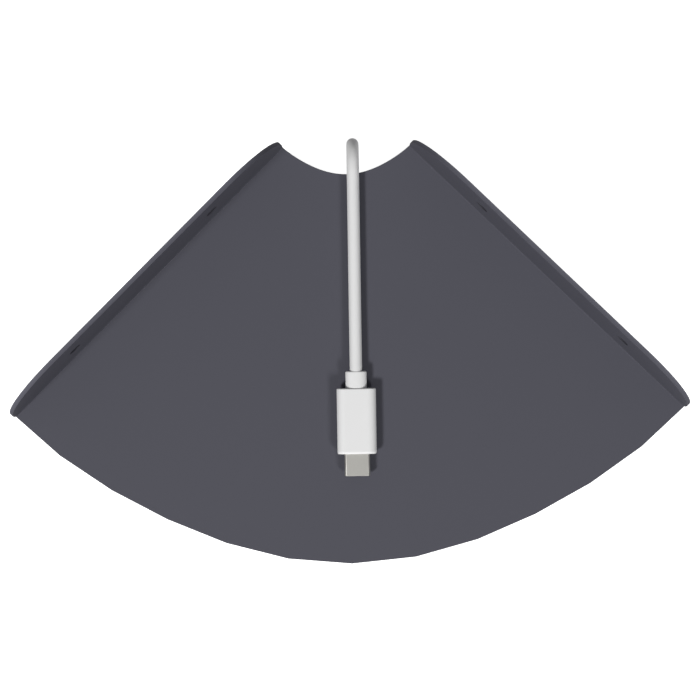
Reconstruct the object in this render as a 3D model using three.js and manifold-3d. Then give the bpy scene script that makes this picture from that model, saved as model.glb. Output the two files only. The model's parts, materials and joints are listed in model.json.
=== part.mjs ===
// Corner charging pad: a fan-shaped tray with two upstanding screw flanges, a shallow housing
// under it that holds a charging coil and its board, and a short cord that comes out of the
// housing's back, turns over the tray's notch and lies on the face with its plug.
//
// Millimetres. +Z up, +Y towards the notch, +X to the right. The origin is in the middle of
// the pad's outline, on the surface that its feet stand on.

import * as THREE from 'three';
import { mergeVertices } from 'three/addons/utils/BufferGeometryUtils.js';
import Module from 'manifold-3d';

const wasm = await Module();
wasm.setup();

// ---- driving dimensions ------------------------------------------------------------------

const DEGREE = Math.PI / 180;
const CLEARANCE = 0.3;         // between pieces that touch or fit into each other
const SEAT = 0.1;              // under a part soldered to the board
const OVERLAP = 1;             // how far a joined feature runs into its base
const BEYOND = 6;              // how far a cutter runs past what it cuts

// tray: radii run from the corner point where the two flange planes meet
const halfAngle = 45.6 * DEGREE;
const notchRadius = 28.75;     // on average
const notchWave = 0.3;         // the notch is this much wider than that on the centre line
const notchWaveAngle = 31 * DEGREE;  // and this much narrower at this angle
const rimRadius = 152;
const rimBulge = 3.6;          // the rim's extra radius on the centre line
const bulgeHalfAngle = 31 * DEGREE;  // the bulge fades to nothing at this angle
const rimFacets = 12;
const notchSteps = 20;
const faceHeight = 23;         // from the resting plane to the tray's face
const plateThickness = 3;
const ribThickness = 1.2;
const ribDepth = 2.5;

// flanges
const flangeHeight = 25;
const flangeThickness = 1.45;
const flangeRimRound = 25;
const flangeNotchRound = 22;
const flangeRoundSteps = 12;
const wallHoleRadius = 2;
const wallHoleHeight = 12.5;   // above the face
const wallHoleEnd = 31;        // from each end of the flange

// housing pan
const panSideInset = 11;
const panRimInset = 11;
const panNotchRadius = 45;
const panWall = 2;
const panFloor = 1.8;
const panRimRound = 8;
const panNotchRound = 5;
const panNotchSteps = 10;
const panCornerSteps = 5;

// feet
const footHeight = 1.2;        // the part that stands proud
const footPocket = 0.7;
const footRadius = 6;
const footEdge = 0.6;          // the rounding of its lower edge
const footSideInset = 31;
const footRimInset = 25;
const rearFootAngle = 14 * DEGREE;
const rearFootInset = 11;

// case screws, from below through the pan into posts under the tray
const screwHeadRadius = 2.8;
const screwHeadHeight = 1.6;
const screwShankRadius = 1.25;
const screwBite = 9;
const screwRecess = 0.4;
const screwSlotDepth = 0.8;
const smallSlotDepth = 0.5;
const bossRadius = 5;
const bossHeight = 2.2;        // above the pan's floor
const postRadius = 3.5;
const postInset = 6.5;         // from the pan's inner wall
const rearPostInset = 16.5;
const rimPostInset = 12;
const frontPostAngle = 13 * DEGREE;

// coil stack, hung under the tray
const coilDistance = 102;      // from the corner point
const coilInnerRadius = 10.5;
const coilRadius = 22;
const coilThickness = 2;
const ferriteRadius = 25;
const ferriteThickness = 1.5;
const carrierHalf = 26;
const carrierThickness = 1.5;
const carrierRound = 6;
const carrierBossOffset = 21.5;
const carrierBossRadius = 3;
const leadRadius = 0.6;
const leadOffset = 4;          // of each coil end from the centre line
const leadGap = 3;             // between the ferrite and where a lead turns down

// control board
const boardDistance = 57;      // from the corner point to its rear edge
const boardWidth = 44;
const boardDepth = 18;
const boardThickness = 1.6;
const boardLift = 3.7;         // its underside above the pan's floor
const boardHoleInset = 3;
const boardPostRadius = 2.4;
const leadLanding = 2;         // from the board's edge to where a wire ends on it

// small screws of the board, the coil carrier and the cord clamp
const smallHeadRadius = 1.6;
const smallHeadHeight = 1.1;
const smallShankRadius = 0.8;
const smallPilotRadius = 1.1;
const smallBite = 3;
const clampBite = 1.4;         // into the pan's saddle
const slotLength = 1.2;        // of a cross slot, as a share of the head's radius
const slotWidth = 0.3;

// cord exit
const cordRadius = 2;
const cordOffset = 2.1;        // to the right of the centre line
const glandHeight = 7.35;      // the cord's centre above the resting plane
const glandHoleRadius = 3.3;
const glandFlangeRadius = 4;
const glandFlange = 1.5;
const glandShoulder = 1.2;     // from the pan's back wall to the relief's shoulder
const glandShoulderLength = 2;
const glandShoulderTaper = 0.3;
const reliefReach = 14;        // from the pan's back wall to the relief's tip
const reliefTipRadius = 2.7;
const clampDistance = 50;      // from the corner point
const clampWidth = 4;
const clampThickness = 1.5;
const clampHalfSpan = 8;
const clampScrewOffset = 6;
const clampArchSteps = 10;
const innerCordEnd = 54.5;
const wireOffset = 0.9;        // of each supply wire from the cord's centre
const supplyLanding = 3;       // from the board's rear edge

// plug, lying on the face
const plugStart = -5.7;        // y of the end that the cord enters
const sleeveRadius = 3.42;     // half its width; it is an oval as high as sleeveHeight
const sleeveHeight = 4.2;
const sleeveLength = 5.25;
const sleeveEdge = 0.45;
const overmoldWidth = 12.65;
const overmoldHeight = 4.8;
const overmoldLength = 21.75;
const overmoldBevel = 0.7;
const overmoldRound = 2.3;     // of its long edges
const shellWidth = 8.25;
const shellHeight = 2.4;
const shellLength = 6.8;
const shellWall = 0.25;
const contactBlockLength = 1.2;
const contactBlockGap = 0.1;   // between it and the shell
const flatSide = 0.01;         // leaves a stadium's round ends this far apart
const stadiumSteps = 6;

// the cord's route, from the relief's tip, round the turn over the notch, to the plug
const cordRoute = [
  [2.1, 56.7, 7.35], [2.1, 58.2, 7.35], [2.1, 59.8, 7.35],
  [2.1, 63.2, 8.05], [2.1, 66.2, 9.95], [2.1, 68.1, 12.95], [2.1, 68.8, 16.35],
  [2.1, 68.1, 19.75], [2.1, 66.2, 22.75], [2.1, 63.2, 24.65], [2.1, 59.8, 25.35],
  [2.1, 55.0, 25.35], [2.1, 48.0, 25.35], [2.1, 40.0, 25.35], [2.1, 30.0, 25.35],
  [2.1, 20.0, 25.35], [2.1, 12.0, 25.4], [2.1, 5.0, 25.5], [2.1, -1.0, 25.6],
  [2.1, -5.4, 25.7],
];
const cordSteps = 34;
const cordSides = 8;

// ---- places worked out from them ---------------------------------------------------------

const notchEnd = sideAngle(notchRadius, flangeThickness);
const cornerY = (rimRadius + rimBulge + notchRadius * Math.cos(notchEnd)) / 2;
const plateUnder = faceHeight - plateThickness;
const floorTop = footHeight + panFloor;
const bossTop = floorTop + bossHeight;
const panTop = plateUnder - CLEARANCE;
const innerSideInset = panSideInset + panWall;
const innerRimInset = panRimInset + panWall;
const innerNotchRadius = panNotchRadius + panWall;
const counterboreTop = footHeight + screwRecess + screwHeadHeight + CLEARANCE;
const coilTop = plateUnder - CLEARANCE;
const ferriteTop = coilTop - coilThickness - CLEARANCE;
const carrierTop = ferriteTop - ferriteThickness - CLEARANCE;
const boardTop = floorTop + boardLift + boardThickness;
const flangeStart = Math.sqrt(notchRadius ** 2 - flangeThickness ** 2);
const flangeEnd = Math.sqrt(rimRadius ** 2 - flangeThickness ** 2);
const saddleTop = glandHeight - cordRadius - CLEARANCE;
const plugHeight = faceHeight + CLEARANCE + overmoldHeight / 2;

// ---- materials ---------------------------------------------------------------------------

const material = (color, roughness, metalness = 0) => (
  new THREE.MeshStandardMaterial({ color, roughness, metalness }));
const trayPlastic = () => material(0x53535b, 0.7);
const panPlastic = () => material(0x46464d, 0.75);
const rubber = () => material(0x1c1c1f, 0.9);
const steel = () => material(0xaaa9a4, 0.35, 1);
const copper = () => material(0xb56a3a, 0.4, 1);
const ferrite = () => material(0x2f3033, 0.6);
const carrierPlastic = () => material(0x2b2b30, 0.7);
const fibreglass = () => material(0x1f5a3a, 0.55);
const chipBlack = () => material(0x17181a, 0.5);
const capacitorTan = () => material(0x9a7a55, 0.5);
const cordWhite = () => material(0xdddddd, 0.5);
const plugWhite = () => material(0xe0e0e0, 0.4);
const insulationRed = () => material(0xa32020, 0.5);

// ---- geometry helpers --------------------------------------------------------------------

// Angle from the centre line to a side that stands `out` beyond the flange plane, at a radius
function sideAngle(radius, out) {
  return halfAngle + Math.asin(out / radius);
}

function fanPoint(radius, angle) {
  return new THREE.Vector2(radius * Math.sin(angle), cornerY - radius * Math.cos(angle));
}

// A point at a radius and at a distance inside one flange plane; side is -1 left, 1 right
function pointInside(side, radius, inset) {
  return fanPoint(radius, side * sideAngle(radius, -inset));
}

function rimAt(angle, inset) {
  const share = Math.min(Math.abs(angle) / bulgeHalfAngle, 1);
  return rimRadius - inset + rimBulge * Math.cos(share * Math.PI / 2) ** 2;
}

function fanOutline(out, notch, rimInset, steps, wave = 0) {
  const rimEnd = sideAngle(rimRadius - rimInset, out);
  const innerEnd = sideAngle(notch, out);
  const points = [];
  for (let i = 0; i <= rimFacets; i += 1) {
    const angle = rimEnd * (2 * i / rimFacets - 1);
    points.push(fanPoint(rimAt(angle, rimInset), angle));
  }
  for (let i = 0; i <= steps; i += 1) {
    const angle = innerEnd * (1 - 2 * i / steps);
    points.push(fanPoint(notch + wave * Math.cos(Math.PI * angle / notchWaveAngle), angle));
  }
  return points;
}

// The points of an arc that replaces one corner of an outline
function cornerArc(before, corner, after, radius, steps) {
  const a = before.clone().sub(corner).normalize();
  const b = after.clone().sub(corner).normalize();
  const half = Math.acos(a.dot(b)) / 2;
  const centre = a.clone().add(b).normalize().multiplyScalar(radius / Math.sin(half)).add(corner);
  const start = a.clone().multiplyScalar(radius / Math.tan(half)).add(corner);
  const end = b.clone().multiplyScalar(radius / Math.tan(half)).add(corner);
  const from = start.sub(centre).angle();
  let sweep = end.sub(centre).angle() - from;
  sweep -= 2 * Math.PI * Math.round(sweep / (2 * Math.PI));
  const points = [];
  for (let i = 0; i <= steps; i += 1) {
    const angle = from + sweep * i / steps;
    points.push(new THREE.Vector2(Math.cos(angle), Math.sin(angle)).multiplyScalar(radius).add(centre));
  }
  return points;
}

// A fan outline with its two rim corners and its two notch corners rounded
function roundedFan(inset, notch, rimInset, rimRound, notchRound) {
  const points = fanOutline(-inset, notch, rimInset, panNotchSteps);
  const corners = new Map([
    [0, rimRound], [rimFacets, rimRound],
    [rimFacets + 1, notchRound], [points.length - 1, notchRound],
  ]);
  return points.flatMap((point, i) => {
    if (!corners.has(i)) return [point];
    const before = points.at(i - 1);
    const after = points[(i + 1) % points.length];
    return cornerArc(before, point, after, corners.get(i), panCornerSteps);
  });
}

function roundedRectangle(width, height, radius, steps = 4) {
  const corners = [[1, 1], [-1, 1], [-1, -1], [1, -1]]
    .map(([x, y]) => new THREE.Vector2(x * width / 2, y * height / 2));
  return corners.flatMap((corner, i) => (
    cornerArc(corners.at(i - 1), corner, corners[(i + 1) % 4], radius, steps)));
}

// An outline raised from one height to another
function prism(points, bottom, top) {
  const shape = new THREE.Shape(points);
  const geometry = new THREE.ExtrudeGeometry(shape, { depth: top - bottom, bevelEnabled: false });
  return geometry.translate(0, 0, bottom);
}

function rod(radius, bottom, top, x, y, sides = 20) {
  const geometry = new THREE.CylinderGeometry(radius, radius, top - bottom, sides);
  return geometry.rotateX(Math.PI / 2).translate(x, y, (top + bottom) / 2);
}

function block(width, depth, bottom, top, x, y) {
  return new THREE.BoxGeometry(width, depth, top - bottom).translate(x, y, (top + bottom) / 2);
}

// A turned piece: its profile's [radius, height] pairs, about +Z
function turned(profile, sides = 24) {
  const points = profile.map(([r, z]) => new THREE.Vector2(r, z));
  return new THREE.LatheGeometry(points, sides).rotateX(Math.PI / 2);
}

function tube(points, radius, sides, steps) {
  const section = new THREE.Shape();
  for (let i = 0; i < sides; i += 1) {
    const angle = 2 * Math.PI * i / sides;
    const place = [radius * Math.cos(angle), radius * Math.sin(angle)];
    if (i === 0) section.moveTo(...place);
    else section.lineTo(...place);
  }
  const path = new THREE.CatmullRomCurve3(points.map((p) => new THREE.Vector3(...p)));
  return new THREE.ExtrudeGeometry(section, { extrudePath: path, steps });
}

function solid(geometry) {
  const bare = geometry.index ? geometry.toNonIndexed() : geometry;
  bare.deleteAttribute('normal');
  bare.deleteAttribute('uv');
  const merged = mergeVertices(bare);
  return new wasm.Manifold(new wasm.Mesh({
    numProp: 3,
    vertProperties: new Float32Array(merged.attributes.position.array),
    triVerts: new Uint32Array(merged.index.array),
  }));
}

// base, with every geometry in `added` joined to it and then every one in `removed` cut away
function shaped(base, added, removed) {
  let body = solid(base);
  for (const geometry of added) body = body.add(solid(geometry));
  for (const geometry of removed) body = body.subtract(solid(geometry));
  const mesh = body.getMesh();
  const result = new THREE.BufferGeometry();
  result.setAttribute('position', new THREE.BufferAttribute(mesh.vertProperties, 3));
  result.setIndex(new THREE.BufferAttribute(mesh.triVerts, 1));
  result.computeVertexNormals();
  return result;
}

// ---- assembly ----------------------------------------------------------------------------

const pad = new THREE.Group();

function place(name, geometry, finish) {
  const mesh = new THREE.Mesh(geometry, finish);
  mesh.name = name;
  pad.add(mesh);
  return mesh;
}

function postPlaces() {
  const inset = innerSideInset + postInset;
  const rearRadius = innerNotchRadius + rearPostInset;
  const rimPlace = rimRadius - innerRimInset - rimPostInset;
  const frontRadius = rimAt(frontPostAngle, innerRimInset + rimPostInset);
  return [-1, 1].flatMap((side) => [
    pointInside(side, rearRadius, inset),
    pointInside(side, rimPlace, inset),
    fanPoint(frontRadius, side * frontPostAngle),
  ]);
}

function carrierPlaces() {
  return [[-1, -1], [1, -1], [1, 1], [-1, 1]].map(([x, y]) => new THREE.Vector2(
    x * carrierBossOffset, cornerY - coilDistance + y * carrierBossOffset));
}

function boardHolePlaces() {
  const x = boardWidth / 2 - boardHoleInset;
  const rear = boardDistance + boardHoleInset;
  const front = boardDistance + boardDepth - boardHoleInset;
  return [[-x, rear], [x, rear], [x, front], [-x, front]]
    .map(([across, distance]) => new THREE.Vector2(across, cornerY - distance));
}

function clampScrewPlaces() {
  return [-1, 1].map((side) => new THREE.Vector2(
    cordOffset + side * clampScrewOffset, cornerY - clampDistance - clampWidth / 2));
}

// Local x runs along a flange from the corner point, local y up, local z through the wall
function onFlange(geometry, side) {
  const along = new THREE.Vector3(side * Math.sin(halfAngle), -Math.cos(halfAngle), 0);
  const up = new THREE.Vector3(0, 0, 1);
  const through = along.clone().cross(up);
  const frame = new THREE.Matrix4().makeBasis(along, up, through).setPosition(0, cornerY, 0);
  return geometry.applyMatrix4(frame);
}

// What is cut off a flange's top corner: end is the flange's end, inwards is 1 or -1
function cornerCutter(end, inwards, radius) {
  const centre = new THREE.Vector2(end + inwards * radius, faceHeight + flangeHeight - radius);
  const top = faceHeight + flangeHeight + BEYOND;
  const outside = end - inwards * BEYOND;
  const points = [new THREE.Vector2(outside, centre.y)];
  for (let i = 0; i <= flangeRoundSteps; i += 1) {
    const angle = Math.PI / 2 * i / flangeRoundSteps;
    points.push(new THREE.Vector2(
      centre.x - inwards * radius * Math.cos(angle), centre.y + radius * Math.sin(angle)));
  }
  points.push(new THREE.Vector2(centre.x, top), new THREE.Vector2(outside, top));
  return prism(points, -BEYOND, BEYOND);
}

function flangeHole(along) {
  return rod(wallHoleRadius, -BEYOND, BEYOND, along, faceHeight + wallHoleHeight);
}

function traySpace() {
  const reach = 2 * rimRadius;
  const points = [fanPoint(0, 0), fanPoint(reach, halfAngle), fanPoint(reach, -halfAngle)];
  return prism(points, faceHeight, faceHeight + flangeHeight + BEYOND);
}

function locatingRib() {
  const inset = panWall + CLEARANCE;
  const inner = inset + ribThickness;
  const outline = (step) => roundedFan(
    panSideInset + step, panNotchRadius + step, panRimInset + step,
    panRimRound - step, panNotchRound - step);
  const bottom = plateUnder - ribDepth;
  const ring = shaped(prism(outline(inset), bottom, plateUnder + OVERLAP), [],
    [prism(outline(inner), bottom - BEYOND, plateUnder + OVERLAP + BEYOND)]);
  return ring;
}

function topTray() {
  const outline = fanOutline(flangeThickness, notchRadius, 0, notchSteps, notchWave);
  const base = prism(outline, plateUnder, faceHeight + flangeHeight);
  const flangeCuts = [-1, 1].flatMap((side) => [
    cornerCutter(flangeEnd, -1, flangeRimRound),
    cornerCutter(flangeStart, 1, flangeNotchRound),
    flangeHole(flangeStart + wallHoleEnd),
    flangeHole(flangeEnd - wallHoleEnd),
  ].map((cutter) => onFlange(cutter, side)));
  const hollowed = shaped(base, [], [traySpace(), ...flangeCuts]);
  const posts = postPlaces().map(({ x, y }) => (
    rod(postRadius, bossTop + CLEARANCE, plateUnder + OVERLAP, x, y)));
  const bosses = carrierPlaces().map(({ x, y }) => (
    rod(carrierBossRadius, carrierTop + CLEARANCE, plateUnder + OVERLAP, x, y)));
  const pilots = postPlaces().map(({ x, y }) => rod(
    screwShankRadius + CLEARANCE, bossTop - BEYOND, bossTop + screwBite + OVERLAP, x, y));
  const smallPilots = carrierPlaces().map(({ x, y }) => rod(
    smallPilotRadius, carrierTop - BEYOND, carrierTop + smallBite + OVERLAP, x, y, 12));
  const features = [locatingRib(), ...posts, ...bosses];
  place('top_tray', shaped(hollowed, features, [...pilots, ...smallPilots]), trayPlastic());
}

function footPlaces() {
  const frontRadius = rimRadius - footRimInset;
  return {
    rear_left: fanPoint(panNotchRadius + rearFootInset, -rearFootAngle),
    rear_right: fanPoint(panNotchRadius + rearFootInset, rearFootAngle),
    front_left: pointInside(-1, frontRadius, footSideInset),
    front_right: pointInside(1, frontRadius, footSideInset),
    front_centre: fanPoint(rimAt(0, footRimInset), 0),
  };
}

function basePan() {
  const outside = roundedFan(panSideInset, panNotchRadius, panRimInset, panRimRound, panNotchRound);
  const inside = roundedFan(innerSideInset, innerNotchRadius, innerRimInset,
    panRimRound - panWall, panNotchRound - panWall);
  const shell = shaped(prism(outside, footHeight, panTop), [],
    [prism(inside, floorTop, panTop + BEYOND)]);
  const floorMiddle = footHeight + panFloor / 2;
  const bosses = postPlaces().map(({ x, y }) => rod(bossRadius, floorMiddle, bossTop, x, y));
  const boardPosts = boardHolePlaces().map(({ x, y }) => rod(
    boardPostRadius, floorMiddle, floorTop + boardLift - CLEARANCE, x, y));
  const saddle = block(2 * clampHalfSpan, clampWidth, floorMiddle, saddleTop,
    cordOffset, cornerY - clampDistance - clampWidth / 2);
  const counterbores = postPlaces().map(({ x, y }) => rod(
    screwHeadRadius + CLEARANCE, footHeight - BEYOND, counterboreTop, x, y));
  const screwHoles = postPlaces().map(({ x, y }) => rod(
    screwShankRadius + CLEARANCE, footHeight - BEYOND, bossTop + BEYOND, x, y));
  const pilots = boardHolePlaces().map(({ x, y }) => rod(
    smallPilotRadius, floorTop, floorTop + boardLift + BEYOND, x, y, 12));
  const clampPilots = clampScrewPlaces().map(({ x, y }) => rod(
    smallPilotRadius, floorTop - CLEARANCE, saddleTop + BEYOND, x, y, 12));
  const pockets = Object.values(footPlaces()).map(({ x, y }) => rod(
    footRadius + CLEARANCE, footHeight - BEYOND, footHeight + footPocket, x, y, 24));
  const glandHole = rod(glandHoleRadius, -BEYOND, BEYOND, 0, 0)
    .rotateX(Math.PI / 2).translate(cordOffset, cornerY - panNotchRadius, glandHeight);
  place('base_pan', shaped(shell, [...bosses, ...boardPosts, saddle],
    [...counterbores, ...screwHoles, ...pilots, ...clampPilots, ...pockets, glandHole]), panPlastic());
}

function feet() {
  const top = footHeight + footPocket - CLEARANCE;
  const profile = [
    [0, 0], [footRadius - footEdge, 0], [footRadius - footEdge / 4, footEdge / 3],
    [footRadius, footEdge],
    [footRadius, top], [0, top],
  ];
  for (const [name, { x, y }] of Object.entries(footPlaces())) {
    place(`foot_${name}`, turned(profile, 24), rubber()).position.set(x, y, 0);
  }
}

// A screw with its head at height 0 to headHeight and its shank above; cross is its slot depth
function screw(headRadius, headHeight, shankRadius, length, cross) {
  const body = turned([
    [0, 0], [headRadius * 0.85, 0], [headRadius, headHeight * 0.25], [headRadius, headHeight],
    [shankRadius, headHeight], [shankRadius, length - shankRadius], [0, length],
  ], 14);
  const slots = [[slotLength, slotWidth], [slotWidth, slotLength]].map(([width, depth]) => (
    block(headRadius * width, headRadius * depth, -cross, cross, 0, 0)));
  return shaped(body, [], slots);
}

function caseScrews() {
  const bottom = footHeight + screwRecess;
  const length = bossTop + screwBite - bottom;
  postPlaces().forEach(({ x, y }, i) => {
    const geometry = screw(screwHeadRadius, screwHeadHeight, screwShankRadius, length, screwSlotDepth);
    place(`case_screw_${i + 1}`, geometry, steel()).position.set(x, y, bottom);
  });
}

function coilStack() {
  const y = cornerY - coilDistance;
  const coilBottom = coilTop - coilThickness;
  const coil = turned([
    [coilInnerRadius, coilBottom], [coilRadius, coilBottom], [coilRadius, coilTop],
    [coilInnerRadius, coilTop], [coilInnerRadius, coilBottom],
  ], 48);
  place('charging_coil', coil, copper()).position.set(0, y, 0);
  const disc = rod(ferriteRadius, ferriteTop - ferriteThickness, ferriteTop, 0, 0, 48);
  place('ferrite_disc', disc, ferrite()).position.set(0, y, 0);
  const plate = roundedRectangle(2 * carrierHalf, 2 * carrierHalf, carrierRound);
  const holes = [[-1, -1], [1, -1], [1, 1], [-1, 1]].map(([sx, sy]) => rod(
    smallPilotRadius, carrierTop - BEYOND, carrierTop + BEYOND,
    sx * carrierBossOffset, sy * carrierBossOffset, 12));
  const carrier = shaped(prism(plate, carrierTop - carrierThickness, carrierTop), [], holes);
  place('coil_carrier', carrier, carrierPlastic()).position.set(0, y, 0);
}

function carrierScrews() {
  const headBottom = carrierTop - carrierThickness - CLEARANCE - smallHeadHeight;
  const length = carrierTop + smallBite - headBottom;
  carrierPlaces().forEach(({ x, y }, i) => {
    const geometry = screw(smallHeadRadius, smallHeadHeight, smallShankRadius, length, smallSlotDepth);
    place(`carrier_screw_${i + 1}`, geometry, steel()).position.set(x, y, headBottom);
  });
}

// A screw that goes down from a seat height; its head is on top
function downScrew(name, { x, y }, seat, bite) {
  const length = smallHeadHeight + bite;
  const geometry = screw(smallHeadRadius, smallHeadHeight, smallShankRadius, length, smallSlotDepth);
  const mesh = place(name, geometry.rotateX(Math.PI), steel());
  mesh.position.set(x, y, seat + CLEARANCE + smallHeadHeight);
}

function controlBoard() {
  const y = cornerY - boardDistance - boardDepth / 2;
  const base = block(boardWidth, boardDepth, boardTop - boardThickness, boardTop, 0, y);
  const holes = boardHolePlaces().map((hole) => rod(
    smallPilotRadius, boardTop - BEYOND, boardTop + BEYOND, hole.x, hole.y, 12));
  place('control_board', shaped(base, [], holes), fibreglass());
  boardHolePlaces().forEach((hole, i) => {
    downScrew(`board_screw_${i + 1}`, hole, boardTop, boardThickness + smallBite);
  });
}

// name, width, depth, height, x, distance in front of the board's rear edge, finish
function boardParts() {
  const parts = [
    ['charge_controller', 7, 7, 0.9, -10, 8, chipBlack],
    ['bridge_mosfet_1', 5, 6, 1, -3, 4.5, chipBlack],
    ['bridge_mosfet_2', 5, 6, 1, -3, 11.2, chipBlack],
    ['input_inductor', 7, 7, 3, 7, 11, ferrite],
    ['input_capacitor', 3.2, 2.5, 2, 12.5, 4.5, capacitorTan],
    ['resonant_capacitor_1', 3.2, 2.5, 1.8, 14.5, 9.5, capacitorTan],
    ['resonant_capacitor_2', 3.2, 2.5, 1.8, 14.5, 13, capacitorTan],
    ['resonant_capacitor_3', 3.2, 2.5, 1.8, -16, 7.5, capacitorTan],
    ['resonant_capacitor_4', 3.2, 2.5, 1.8, -16, 11, capacitorTan],
  ];
  for (const [name, width, depth, height, x, distance, finish] of parts) {
    const y = cornerY - boardDistance - distance;
    const bottom = boardTop + SEAT;
    place(name, block(width, depth, bottom, bottom + height, x, y), finish());
  }
}

// The coil's two ends come over the ferrite's back edge and down to the board's front edge
function coilLeads() {
  const height = coilTop - coilThickness / 2;
  const start = cornerY - coilDistance + coilRadius;
  const rear = cornerY - coilDistance + ferriteRadius + leadGap;
  const end = cornerY - boardDistance - boardDepth + leadLanding;
  [-1, 1].forEach((side, i) => {
    const x = side * leadOffset;
    const route = [
      [x, start + CLEARANCE, height], [x, rear - 1, height], [x, rear + 1.5, height - 2],
      [x, end, boardTop + 2], [x, end, boardTop + CLEARANCE],
    ];
    place(`coil_lead_${i + 1}`, tube(route, leadRadius, 8, 14), copper());
  });
}

function cordGland() {
  const axis = 0;
  const shoulder = panNotchRadius - glandShoulder;
  const inner = innerNotchRadius + CLEARANCE;
  const tip = panNotchRadius - reliefReach;
  const neck = glandHoleRadius - CLEARANCE;
  const profile = [
    [axis, inner + glandFlange], [glandFlangeRadius, inner + glandFlange],
    [glandFlangeRadius, inner], [neck, inner], [neck, shoulder],
    [glandFlangeRadius, shoulder],
    [glandFlangeRadius - glandShoulderTaper, shoulder - glandShoulderLength],
    [reliefTipRadius, tip], [axis, tip],
  ];
  const gland = turned(profile.map(([r, d]) => [r, -d]), 20).rotateX(-Math.PI / 2);
  place('cord_gland', gland, plugWhite()).position.set(cordOffset, cornerY, glandHeight);
}

function cordClamp() {
  const bore = cordRadius + CLEARANCE;
  const crown = bore + clampThickness;
  const ear = saddleTop + CLEARANCE - glandHeight;
  const earTop = ear + clampThickness;
  const points = [[clampHalfSpan, ear], [clampHalfSpan, earTop], [crown, earTop]]
    .map(([x, z]) => new THREE.Vector2(x, z));
  for (let i = 0; i <= clampArchSteps; i += 1) {
    const angle = Math.PI * i / clampArchSteps;
    points.push(new THREE.Vector2(crown * Math.cos(angle), crown * Math.sin(angle)));
  }
  points.push(new THREE.Vector2(-crown, earTop), new THREE.Vector2(-clampHalfSpan, earTop));
  points.push(new THREE.Vector2(-clampHalfSpan, ear));
  for (let i = 0; i <= clampArchSteps; i += 1) {
    const angle = Math.PI * (1 - i / clampArchSteps);
    const z = i === 0 || i === clampArchSteps ? ear : bore * Math.sin(angle);
    points.push(new THREE.Vector2(bore * Math.cos(angle), z));
  }
  const strap = prism(points, -clampWidth / 2, clampWidth / 2).rotateX(Math.PI / 2);
  const y = cornerY - clampDistance - clampWidth / 2;
  strap.translate(cordOffset, y, glandHeight);
  const holes = clampScrewPlaces().map((hole) => rod(
    smallPilotRadius, saddleTop, saddleTop + BEYOND, hole.x, hole.y, 12));
  place('cord_clamp', shaped(strap, [], holes), carrierPlastic());
  clampScrewPlaces().forEach((hole, i) => {
    const seat = glandHeight + earTop;
    downScrew(`clamp_screw_${i + 1}`, hole, seat, clampThickness + CLEARANCE + clampBite);
  });
}

function innerCord() {
  const start = innerNotchRadius + CLEARANCE + glandFlange + CLEARANCE;
  const length = innerCordEnd - start;
  const jacket = new THREE.CylinderGeometry(cordRadius, cordRadius, length, 16);
  place('inner_cord', jacket, cordWhite())
    .position.set(cordOffset, cornerY - start - length / 2, glandHeight);
}

// The cord's two wires, from the end of its jacket to the board's rear edge
function supplyWires() {
  const wires = [['supply_wire_positive', 1, insulationRed], ['supply_wire_negative', -1, chipBlack]];
  for (const [name, side, finish] of wires) {
    const x = cordOffset + side * wireOffset;
    const start = cornerY - innerCordEnd - 2 * CLEARANCE;  // because its end is tilted
    const end = cornerY - boardDistance - supplyLanding;
    const route = [
      [x, start, glandHeight + 0.6], [x, start - 0.4, glandHeight + 0.9],
      [x, start - 1, boardTop + 1.6], [x, end + 1.8, boardTop + 2.6],
      [x, end, boardTop + 1.6], [x, end, boardTop + CLEARANCE],
    ];
    place(name, tube(route, leadRadius, 8, 12), finish());
  }
}

function freeCord() {
  place('cord', tube(cordRoute, cordRadius, cordSides, cordSteps), cordWhite());
}

// A section in x and z, drawn out along -y from one end of the plug
function alongPlug(points, start, length) {
  return prism(points, 0, length).rotateX(Math.PI / 2).translate(cordOffset, start, plugHeight);
}

function plugSleeve() {
  const profile = [
    [0, 0], [sleeveRadius - sleeveEdge, 0], [sleeveRadius, sleeveEdge],
    [sleeveRadius, sleeveLength],
    [0, sleeveLength],
  ];
  const sleeve = turned(profile).rotateX(Math.PI / 2);
  sleeve.scale(1, 1, sleeveHeight / (2 * sleeveRadius));
  place('plug_sleeve', sleeve, plugWhite()).position.set(cordOffset, plugStart, plugHeight);
}

function plugOvermold() {
  const width = overmoldWidth - 2 * overmoldBevel;
  const height = overmoldHeight - 2 * overmoldBevel;
  const shape = new THREE.Shape(roundedRectangle(width, height, overmoldRound - overmoldBevel));
  const geometry = new THREE.ExtrudeGeometry(shape, {
    depth: overmoldLength - 2 * overmoldBevel - 2 * CLEARANCE,
    bevelSize: overmoldBevel,
    bevelThickness: overmoldBevel,
    bevelSegments: 2,
  });
  const start = plugStart - sleeveLength - CLEARANCE - overmoldBevel;
  place('plug_overmold', geometry.rotateX(Math.PI / 2), plugWhite())
    .position.set(cordOffset, start, plugHeight);
}

function plugShell() {
  const start = plugStart - sleeveLength - overmoldLength;
  const outside = roundedRectangle(
    shellWidth, shellHeight, shellHeight / 2 - flatSide, stadiumSteps);
  const height = shellHeight - 2 * shellWall;
  const inside = roundedRectangle(
    shellWidth - 2 * shellWall, height, height / 2 - flatSide, stadiumSteps);
  const mouth = alongPlug(inside, start - shellWall, shellLength + BEYOND);
  place('plug_shell', shaped(alongPlug(outside, start, shellLength), [], [mouth]), steel());
  const blockWidth = shellWidth - 2 * shellWall - 2 * contactBlockGap;
  const blockHeight = height - 2 * contactBlockGap;
  const core = roundedRectangle(
    blockWidth, blockHeight, blockHeight / 2 - flatSide, stadiumSteps);
  const blockStart = start - shellWall - contactBlockGap;
  place('plug_contact_block', alongPlug(core, blockStart, contactBlockLength), chipBlack());
}

topTray();
basePan();
feet();
caseScrews();
coilStack();
carrierScrews();
controlBoard();
boardParts();
coilLeads();
cordGland();
cordClamp();
innerCord();
supplyWires();
freeCord();
plugSleeve();
plugOvermold();
plugShell();

export default pad;
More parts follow.
